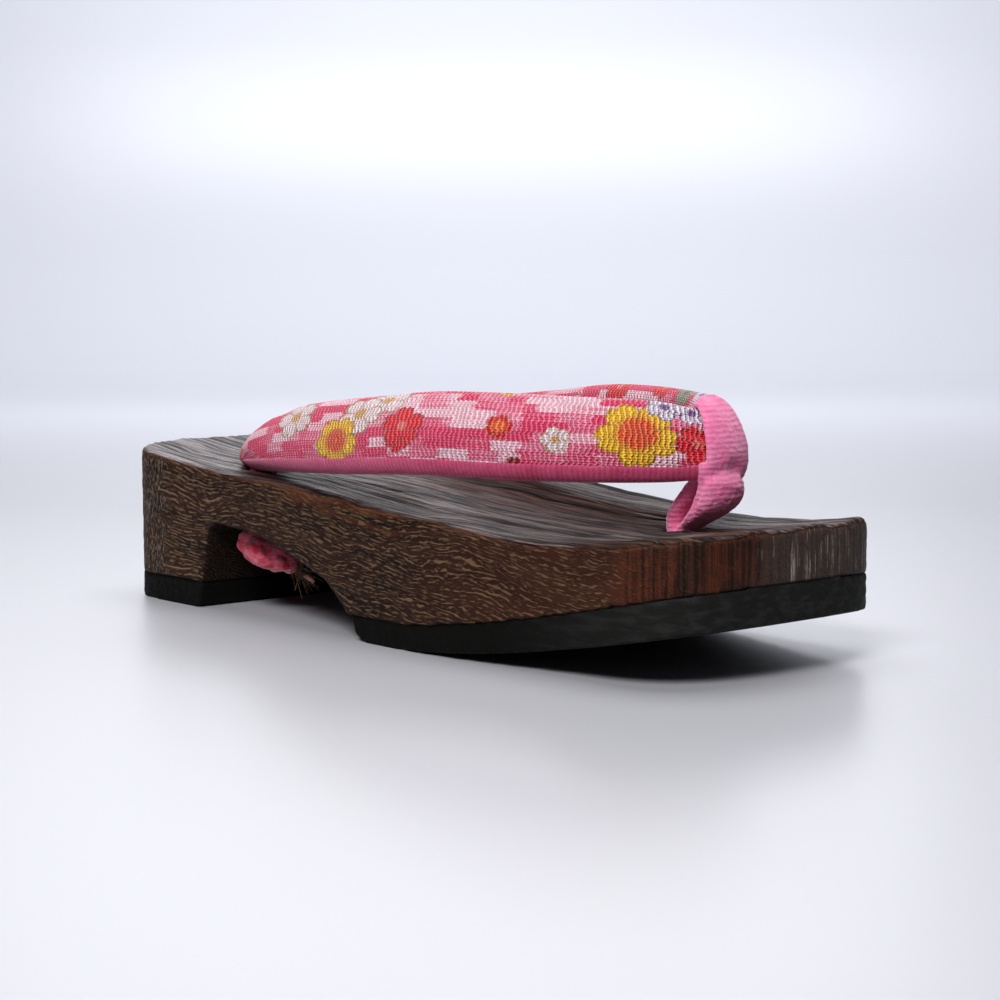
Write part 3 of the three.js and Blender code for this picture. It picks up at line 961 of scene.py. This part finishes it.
def use_group(group, **values):
    """A node of this group, fed by name. Gives its outputs by name."""
    tree = tree_of(*values.values())
    node = tree.nodes.new("ShaderNodeGroup")
    node.node_tree = group
    for title, value in values.items():
        feed(node.inputs[title.replace("_", " ")], value)
    return {socket.name: Value(tree, socket) for socket in node.outputs}


def srgb(red, green, blue):
    """A colour as a colour picker shows it, 0 to 255, as light."""
    shares = (red / 255, green / 255, blue / 255)
    return tuple(s / 12.92 if s <= 0.04045 else ((s + 0.055) / 1.055) ** 2.4 for s in shares)


print("shader helpers ready")

# %% [markdown]
# Dark brushed wood
#
# The block is one material seen on several kinds of surface. The sides show open pores as light dashes along
# the grain, with a redder streak over the arch, and warmer wood towards the toe. At the heel the pores are
# short upright flecks. The footbed is brushed grey-brown with a satin sheen and one long crack. The toe
# shows upright bands of orange, brown and grey, where the stain is worn. The rounded edge above the sides
# is painted lighter as a highlight, and the faces under the arch are painted darker as shade, as is the
# heel's face towards the arch. The pores are one solid pattern, stretched along the grain, so that each
# face cuts it as a saw would.

# %% Wood colours and pitches
wood_dark = srgb(53, 31, 23)
wood_deep = srgb(27, 15, 11)
wood_pore = srgb(152, 122, 92)
wood_cut_pore = srgb(152, 134, 118)
wood_orange = srgb(108, 60, 34)
wood_grey = srgb(114, 92, 84)
wood_warm = srgb(86, 44, 28)
wood_painted_shade = srgb(12, 8, 7)
wood_painted_highlight = srgb(112, 70, 50)
pore_pitch = 1.15
grain_slope = 0.085

# %% Wood material


def wood_material():
    material, tree, shader = new_material("brushed wood", Specular_IOR_Level=0.1, Coat_Roughness=0.3)
    place = place_in_mm(tree)
    x, y, z = apart(place)
    face_x, face_y, face_z = facing(tree)
    top = ramp(face_z, 0.45, 0.8)
    toe = ramp(face_x, 0.08, 0.3) * ramp(x, 82.0, 93.0)

    wander = noise(place, (0.02, 0.05, 0.05))
    lifted = z + (wander - 0.5) * 12.0 + x * grain_slope
    grain = together(x, y, lifted)
    figure = noise(grain, (0.022, 0.16, 0.22), 4.0, 0.6)
    streak = noise(grain, (0.03, 0.75, 0.8), 3.0, 0.6)
    waver = noise(grain, (0.04, 0.09, 0.1), 2.0, 0.5, (9, 2, 4))
    curl = noise(grain, (0.14, 0.3, 0.34), 2.0, 0.6, (3, 8, 1))
    across = lifted + y * 0.6 + waver * 4.0 + curl * ramp(x, -90.0, 10.0, 1.2, 3.2)
    rows = calc("SINE", across * (2 * math.pi / pore_pitch))
    breaks = noise(grain, (0.27, 1.0, 1.5), 1.0, 0.5)
    dash = ramp(rows, 0.15, 0.7) * ramp(breaks, 0.46, 0.53)
    small_pores = noise(grain, (0.36, 3.0, 2.8), 1.0, 0.5, (31, 7, 3))
    along_pore = calc("MAXIMUM", dash, ramp(small_pores, 0.56, 0.64) * 0.45)
    upright = noise(place, (2.1, 2.1, 0.62), 2.0, 0.6, (0, 5, 2), distortion=0.3)
    rear = ramp(x + streak * 26.0, -76.0, -79.0)
    any_pore = ramp(upright, 0.5, 0.6) * rear + along_pore * (1.0 - rear)

    side = mix(ramp(figure, 0.35, 0.65), wood_deep, wood_dark)
    pore_share = any_pore * ramp(x, -72.0, -45.0, 0.62, 0.48)
    side = mix(pore_share, side, mix(rear, wood_pore, wood_cut_pore))
    sap_height = calc("ABSOLUTE", z + x * 0.115 - 34.4)
    sap = between(x, -34.0, -22.0, 18.0, 34.0) * ramp(sap_height, 0.8, 5.0, 1.0, 0.0)
    sap = sap * ramp(face_y, -0.5, -0.8) * ramp(streak, 0.35, 0.6)
    side = mix(sap * 0.5, side, wood_orange)
    side = mix(ramp(x, 15.0, 85.0, 0.0, 0.3), side, wood_warm)

    corner = x * 0.5 + y * 0.87 + (figure - 0.5) * 9.0
    bands = calc("MAXIMUM", between(corner, 9.0, 13.0, 26.0, 28.0), between(corner, 31.0, 34.0, 44.0, 54.0))
    fine_band = noise(place, (0.9, 1.1, 0.03), 3.0, 0.65)
    blotch = noise(place, (0.14, 0.18, 0.16), 3.0, 0.65, (4, 0, 0))
    orange_share = bands * (ramp(fine_band, 0.3, 0.62) * ramp(blotch, 0.3, 0.6))
    end_grain = mix(ramp(fine_band, 0.42, 0.6), srgb(32, 18, 13), srgb(62, 38, 29))
    end_grain = mix(orange_share * 0.9, end_grain, srgb(88, 42, 26))
    end_grain = mix(any_pore * 0.05, end_grain, wood_pore)
    worn = ramp(corner, 44.0, 54.0) * 0.85
    scratch = ramp(noise(place, (0.5, 1.9, 0.06), 3.0, 0.7, (2, 0, 0)), 0.55, 0.66)
    patch = ramp(noise(place, (0.1, 0.16, 0.2), 2.0, 0.5, (6, 0, 0)), 0.4, 0.6)
    end_grain = mix(worn, end_grain, mix(fine_band, srgb(40, 28, 24), srgb(92, 78, 72)))
    end_grain = mix(worn * (scratch * patch), end_grain, srgb(170, 158, 150))

    bed_place = together(x, y + (wander - 0.5) * 9.0, z)
    bed_streak = noise(bed_place, (0.009, 0.58, 0.05), 4.0, 0.72)
    bed_fine = noise(bed_place, (0.016, 2.3, 0.1), 3.0, 0.65, (5, 0, 0))
    crack_gap = calc("ABSOLUTE", y - (x * 0.05 + 9.0) + (wander - 0.5) * 7.0)
    crack = ramp(crack_gap, 0.15, 0.6, 1.0, 0.0) * between(x, -30.0, -10.0, 62.0, 72.0)
    bed = mix(ramp(bed_streak, 0.445, 0.555), srgb(20, 11, 9), srgb(84, 57, 48))
    bed = mix(ramp(bed_fine, 0.5, 0.68) * 0.45, bed, wood_grey)
    bed = mix(ramp(bed_fine, 0.47, 0.36) * 0.85, bed, srgb(14, 8, 6))
    bed = mix(crack * 0.8, bed, srgb(20, 13, 11))

    # Painted highlight: the rounded edge between the sides and the footbed, which faces partly up, is painted
    # lighter, in streaks along the grain.
    rim = between(face_z, 0.12, 0.4, 0.75, 0.9) * ramp(streak, 0.4, 0.65)
    # Painted shade: faces turned down under the arch, and the heel's face towards the arch, are painted near
    # black.
    painted_shade_below = ramp(face_z, -0.3, -0.7)
    painted_shade_behind_arch = ramp(face_x, 0.45, 0.8) * ramp(x, -60.0, -66.0)
    colour = mix(toe, side, end_grain)
    colour = mix(calc("MAXIMUM", painted_shade_below, painted_shade_behind_arch) * 0.8, colour, wood_painted_shade)
    colour = mix(top, colour, bed)
    feed(shader.inputs["Base Color"], mix(rim * 0.45, colour, wood_painted_highlight))

    gloss = ramp(bed_streak, 0.35, 0.65, 0.6, 0.38)
    dull = any_pore * 0.2 + 0.5
    feed(shader.inputs["Roughness"], gloss * top + dull * (1.0 - top))

    side_height = any_pore * 0.7 + streak * 0.5
    top_height = bed_fine * 1.6 + bed_streak * 1.4 - crack * 1.6
    normal = add_bump(shader, mix(top, side_height, top_height), 0.6 * mm)
    feed(shader.inputs["Coat Normal"], normal)
    sheen = ramp(bed_streak, 0.42, 0.6, 0.12, 0.8) * ramp(x, -75.0, -25.0, 1.0, 0.1)
    feed(shader.inputs["Coat Weight"], top * sheen)
    return material


block.data.materials.append(wood_material())
print("wood on", block.name)

# %% [markdown]
# Black crumb rubber
#
# Matte black with fine crumbs, a little lighter and scuffed towards the toe.

# %% Rubber material


def rubber_material():
    material, tree, shader = new_material("crumb rubber", Specular_IOR_Level=0.08)
    place = place_in_mm(tree)
    crumbs = noise(place, (0.9, 0.9, 0.9), 4.0, 0.7)
    toe = ramp(apart(place)[0], 55.0, 112.0)
    scuff = toe * ramp(noise(place, (0.08, 0.25, 0.6), 3.0), 0.42, 0.66)
    colour = mix(crumbs, srgb(6, 6, 5), srgb(14, 15, 12))
    colour = mix(toe * 0.8, colour, srgb(30, 31, 29))
    feed(shader.inputs["Base Color"], mix(scuff * 0.3, colour, srgb(58, 60, 58)))
    feed(shader.inputs["Roughness"], ramp(crumbs, 0.3, 0.7, 0.5, 0.72))
    add_bump(shader, crumbs, 0.22 * mm)
    return material


rubber = rubber_material()
for sheet in (heel_sheet, front_sheet):
    sheet.data.materials.append(rubber)
print("rubber on two sheets")

# %% [markdown]
# Crepe ribs
#
# The print is woven as a crepe: crosswise ribs about 1.3 mm apart that waver from row to row, over fine
# threads that run along the thong. The rib pattern is a group, used by the print and by the cloth in the
# rear holes.

# %% Crepe group


def crepe_group():
    group, inputs, outputs = new_group(
        "crepe",
        [("Cloth", "Vector", None), ("Rib", "Float", 1.28), ("Thread", "Float", 0.66)],
        [("Height", "Float"), ("Shine", "Float"), ("Sway", "Float")],
    )
    u, v, _ = apart(inputs["Cloth"])
    sway = (noise(inputs["Cloth"], (0.16, 0.5, 0)) - 0.5) * 2.6
    zigzag = calc("PINGPONG", v, 0.62)
    rib = calc("SINE", (u + sway + zigzag * 0.32) * (2 * math.pi / inputs["Rib"]))
    thread = calc("SINE", v * (2 * math.pi / inputs["Thread"]))
    feed(outputs["Height"], rib * 0.42 + thread * 0.1)
    feed(outputs["Shine"], ramp(rib * 0.75 + thread * 0.25, -0.6, 0.9))
    feed(outputs["Sway"], sway)
    return group


crepe = crepe_group()
print("group", crepe.name)

# %% [markdown]
# A blossom
#
# One group draws one woven blossom on what lies under it: five round petals with a notch, a thin rim, dark
# lines between the petals and a heart. Its centre, size, turn and colours are its inputs, so that the whole
# print is a list of places.

# %% Blossom group


def blossom_group():
    numbers = ("Centre along", "Centre round", "Radius", "Stretch", "Turn", "Heart size")
    colours = ("Under", "Petal", "Heart", "Rim")
    sockets = [("Cloth", "Vector", None)]
    sockets += [(title, "Float", 1.0) for title in numbers]
    sockets += [(title, "Color", None) for title in colours]
    group, inputs, outputs = new_group("blossom", sockets, [("Color", "Color")])
    u, v, _ = apart(inputs["Cloth"])
    across = (u - inputs["Centre along"]) / (inputs["Radius"] * inputs["Stretch"])
    rise = (v - inputs["Centre round"]) / inputs["Radius"]
    reach = calc("SQRT", across * across + rise * rise)
    angle = calc("ARCTAN2", rise, across) + inputs["Turn"]
    petal = calc("ABSOLUTE", calc("COSINE", angle * 2.5))
    notch = ramp(petal, 0.975, 1.0) * 0.12
    inside = calc("POWER", petal, 0.5) * 0.36 + 0.66 - notch - reach
    whole = ramp(inside, 0.0, 0.04)
    rim = whole * ramp(inside, 0.07, 0.12, 1.0, 0.0)
    split = ramp(petal, 0.12, 0.26, 1.0, 0.0) * ramp(reach, 0.2, 0.34)
    heart = ramp(reach, inputs["Heart size"] * 0.55, inputs["Heart size"], 1.0, 0.0)
    colour = mix(heart, inputs["Petal"], inputs["Heart"])
    colour = mix(calc("MAXIMUM", rim, split * 0.6), colour, inputs["Rim"])
    feed(outputs["Color"], mix(whole, inputs["Under"], colour))
    return group


blossom = blossom_group()
print("group", blossom.name)

# %% [markdown]
# The printed crepe
#
# The ground is rows of long dashes in deep and pale pink, like bricks, with fine threads in them. Over it
# lie the blossoms. Each kind has the colours of its petals, heart and rim, and the heart's size as a share
# of the radius. Each row of the table is one blossom: how far along the thong its centre is, how far round
# from the middle of the outer face, its radius, how far it is stretched along the thong, its turn and its
# kind. The right arm follows the photograph, and the left arm, which it hides, has more of the same kinds.

# %% Blossoms of the print
flower_kinds = {
    "yellow": (srgb(248, 190, 34), srgb(232, 84, 40), srgb(196, 142, 40), 0.62),
    "white": (srgb(242, 218, 224), srgb(216, 164, 104), srgb(170, 140, 80), 0.34),
    "red": (srgb(234, 20, 46), srgb(236, 120, 110), srgb(150, 60, 50), 0.28),
    "ember": (srgb(216, 20, 40), srgb(240, 110, 40), srgb(190, 120, 60), 0.6),
    "crimson": (srgb(150, 22, 44), srgb(200, 70, 70), srgb(120, 60, 50), 0.3),
    "lilac": (srgb(226, 214, 232), srgb(120, 80, 150), srgb(132, 96, 150), 0.34),
    "grey": (srgb(150, 150, 130), srgb(120, 80, 90), srgb(110, 90, 80), 0.34),
}
flower_table = [
    (5.5, 0.6, 4.6, 1.0, 0.2, "yellow"),
    (30, 10, 4.0, 1.4, 0.9, "white"),
    (44, 4.4, 6.4, 1.4, 0.5, "white"),
    (82, 8.6, 5.6, 1.4, 0.7, "white"),
    (74, 4.2, 6.2, 1.4, 0.1, "white"),
    (66.5, -3.0, 6.8, 1.35, 0.3, "yellow"),
    (90, -3.6, 3.4, 1.2, 0.4, "red"),
    (91, 0.2, 5.7, 1.25, 0.9, "red"),
    (119.6, 1.0, 3.5, 1.15, 0.0, "ember"),
    (124, -8.6, 2.2, 1.1, 0.4, "crimson"),
    (119, 12.5, 2.4, 1.2, 0.0, "yellow"),
    (134.3, -1.8, 3.5, 1.1, 0.6, "white"),
    (153, 0.6, 9.0, 1.12, 0.35, "yellow"),
    (159.4, 8.6, 4.4, 1.1, 0.2, "lilac"),
    (166.2, 8.0, 4.2, 1.1, 0.8, "lilac"),
    (166.6, -1.4, 5.4, 1.0, 0.5, "red"),
    (186, 11.0, 4.6, 1.2, 0.4, "crimson"),
    (187, -1.0, 8.0, 1.2, 0.0, "yellow"),
    (196, 13.0, 4.4, 1.3, 0.2, "lilac"),
    (203, 3.0, 6.0, 1.3, 0.7, "white"),
    (207, 14.0, 4.8, 1.2, 0.3, "grey"),
    (216, -4.0, 4.6, 1.2, 0.1, "crimson"),
    (220, 13.5, 4.2, 1.2, 0.5, "red"),
    (234, 3.0, 7.4, 1.3, 0.4, "yellow"),
    (240, 14.5, 5.0, 1.2, 0.2, "red"),
    (252, -3.0, 4.4, 1.2, 0.8, "white"),
    (264, 6.0, 6.2, 1.3, 0.1, "red"),
    (284, -1.0, 6.6, 1.4, 0.6, "white"),
    (299, 5.0, 6.4, 1.3, 0.3, "yellow"),
    (318, 0.0, 4.8, 1.2, 0.9, "crimson"),
]

# %% Printed cloth
deep_pink = srgb(232, 54, 104)
mid_pink = srgb(242, 120, 154)
pale_pink = srgb(252, 200, 216)
dash_height = 2.65
short_dash = 8.5
long_dash = 19.0


def dash_rows(cloth, sway, length, shift):
    """Rows of dashes with frayed ends, each with a tone of its own."""
    u, v, _ = apart(cloth)
    frayed = (noise(cloth, (0.06, 1.5, 0), 2.0, 0.6) - 0.5) * 5.0
    inputs = {
        "Vector": stretched(together(u + sway + frayed, v), (1, 1, 1), (shift, 200 * dash_height, 0)),
        "Color1": (0, 0, 0),
        "Color2": (1, 1, 1),
        "Mortar Size": 0,
        "Scale": 1,
        "Brick Width": length,
        "Row Height": dash_height,
    }
    return add_node(cloth.tree, "TexBrick", inputs, offset=0.37, offset_frequency=3)


def print_ground(cloth, sway):
    u, v, _ = apart(cloth)
    thin = noise(cloth, (0.05, 2.4, 0), 3.0, 0.65)
    drift = noise(cloth, (0.025, 0.05, 0), 1.0, 0.5, (3.1, 0, 0))
    tone = dash_rows(cloth, sway, short_dash, 900.0) * 0.6 + dash_rows(cloth, sway, long_dash, 407.0) * 0.5
    tone = tone + (thin - 0.5) * 0.7 + (drift - 0.5) * 0.3 + ramp(v, -8.5, -10.5, 0.0, 0.35)
    tone = tone - between(u, 95.0, 150.0, 185.0, 215.0) * 0.11
    ground = mix(ramp(tone, 0.34, 0.48), pale_pink, mid_pink)
    return mix(ramp(tone, 0.5, 0.66), ground, deep_pink)


def with_flowers(ground, woven):
    colour = ground
    for *place, kind in flower_table:
        placed = dict(zip(("Centre along", "Centre round", "Radius", "Stretch", "Turn"), place))
        finish = dict(zip(("Petal", "Heart", "Rim", "Heart size"), flower_kinds[kind]))
        colour = use_group(blossom, Cloth=woven, Under=colour, **placed, **finish)["Color"]
    return colour


def print_material(name, flowers):
    sockets = {"Specular_IOR_Level": 0.25, "Sheen_Weight": 0.12, "Sheen_Roughness": 0.4}
    material, tree, shader = new_material(name, **sockets)
    cloth = cloth_in_mm(tree)
    weave = use_group(crepe, Cloth=cloth)
    colour = print_ground(cloth, weave["Sway"] * 0.5)
    if flowers:
        u, v, _ = apart(cloth)
        colour = with_flowers(colour, together(u + weave["Height"] * 0.35, v))
    # Painted highlight: the rib crests are mixed towards near-white pink as a glint.
    painted_glint = ramp(weave["Shine"], 0.75, 1.0) * 0.16
    colour = mix(painted_glint, colour, srgb(255, 226, 232))
    # Painted light and shade: the colour is multiplied brighter on the rib crests and darker in the troughs
    # between them.
    light = ramp(weave["Shine"], 0.0, 1.0, 0.8, 1.32)
    feed(shader.inputs["Base Color"], mix(1.0, colour, together(light, light, light), "MULTIPLY"))
    feed(shader.inputs["Roughness"], ramp(weave["Shine"], 0.0, 1.0, 0.72, 0.5))
    add_bump(shader, weave["Height"], 0.8 * mm)
    return material


thong.data.materials.append(print_material("printed crepe", True))
thong_ends.data.materials.append(print_material("printed crepe, tied ends", False))
print("print with", len(flower_table), "blossoms")

# %% [markdown]
# Ribbed velveteen
#
# Lining and loop are the same cloth: fine ribs and a short nap that catches light at grazing angles. The
# group gives the ribs' height and tone from whatever coordinate runs across the ribs.

# %% Velveteen


def velveteen_group():
    group, inputs, outputs = new_group(
        "velveteen",
        [("Across ribs", "Float", 0.0), ("Place", "Vector", None), ("Rib", "Float", 1.2)],
        [("Height", "Float"), ("Tone", "Float")],
    )
    nap = noise(inputs["Place"], (2.6, 2.6, 2.6), 3.0, 0.7)
    mottle = noise(inputs["Place"], (0.22, 0.22, 0.22), 2.0, 0.6)
    wobble = (mottle - 0.5) * 1.2
    rib = calc("SINE", (inputs["Across ribs"] + wobble) * (2 * math.pi) / inputs["Rib"])
    feed(outputs["Height"], rib * 0.12 + nap * 0.8)
    feed(outputs["Tone"], rib * 0.06 + (nap * 0.5 + mottle * 0.4))
    return group


velveteen = velveteen_group()
rib_pitch = 1.25


def velveteen_material(name, dark, light, ribs_cross_thong):
    sockets = {"Roughness": 0.9, "Specular_IOR_Level": 0.15, "Sheen_Weight": 0.6, "Sheen_Roughness": 0.35}
    material, tree, shader = new_material(name, Sheen_Tint=(1.0, 0.75, 0.88, 1), **sockets)
    place = place_in_mm(tree)
    across = apart(cloth_in_mm(tree))[0] if ribs_cross_thong else apart(place)[2]
    nap = use_group(velveteen, Across_ribs=across, Place=place, Rib=rib_pitch)
    feed(shader.inputs["Base Color"], mix(ramp(nap["Tone"], 0.15, 0.7), dark, light))
    add_bump(shader, nap["Height"], 0.4 * mm)
    return material


lining_cloth = velveteen_material("velveteen lining", srgb(172, 44, 80), srgb(220, 92, 136), True)
loop_cloth = velveteen_material("velveteen loop", srgb(238, 86, 148), srgb(255, 164, 206), False)
lining.data.materials.append(lining_cloth)
toe_loop.data.materials.append(loop_cloth)
knot_front.data.materials.append(loop_cloth)
print("velveteen on lining, loop and front knot")

# %% [markdown]
# Tied ends and hemp
#
# The tied ends have no map of their own, because they are crumpled: their pink and red print is a soft
# mottle, paler at the lower edge. The hemp is straw brown.

# %% Tied cloth and hemp


def tied_material():
    material, tree, shader = new_material("tied cloth", Roughness=0.8, Sheen_Weight=0.3)
    place = place_in_mm(tree)
    patch = noise(place, (0.12, 0.3, 0.4), 2.0, 0.6)
    thread = noise(place, (1.6, 1.6, 1.6), 3.0, 0.7)
    pale_edge = ramp(apart(place)[2], 10.5, 13.5, 1.0, 0.0)
    colour = mix(ramp(patch, 0.4, 0.6), srgb(214, 32, 62), srgb(232, 100, 130))
    colour = mix(pale_edge * 0.6, colour, srgb(226, 200, 186))
    feed(shader.inputs["Base Color"], mix(ramp(thread, 0.4, 0.7) * 0.3, colour, srgb(150, 40, 60)))
    add_bump(shader, thread, 0.4 * mm)
    return material


def hemp_material():
    material, tree, shader = new_material("hemp", Roughness=0.85)
    fibre = noise(place_in_mm(tree), (0.6, 2.0, 2.0), 3.0, 0.6)
    feed(shader.inputs["Base Color"], mix(fibre, srgb(70, 50, 34), srgb(150, 122, 88)))
    return material


tied = tied_material()
hemp = hemp_material()
for piece, material in ((knot_right, tied), (knot_left, tied), (fray_right, hemp), (fray_left, hemp)):
    piece.data.materials.append(material)
print("cloth on the tied ends, hemp on the frays")

# %% [markdown]
# What each piece stands for
#
# Every piece rides on the sandal's one body, and the solid that it replaces is hidden.

# %% Rides and replaced solids
pieces = [
    (block, "wooden_block", "wood"),
    (heel_sheet, "heel_rubber", "rubber"),
    (front_sheet, "front_rubber", "rubber"),
    (thong, "thong", "printed_cloth"),
    (lining, "thong_lining", "lining_cloth"),
    (toe_loop, "toe_loop", "loop_cloth"),
    (knot_front, "front_knot", "loop_cloth"),
    (knot_right, "rear_knot_right", "printed_cloth"),
    (knot_left, "rear_knot_left", "printed_cloth"),
    (thong_ends, None, "printed_cloth"),
    (fray_right, None, "printed_cloth"),
    (fray_left, None, "printed_cloth"),
]
for piece, node, slot in pieces:
    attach(piece, "root")
    if node:
        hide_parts(node)
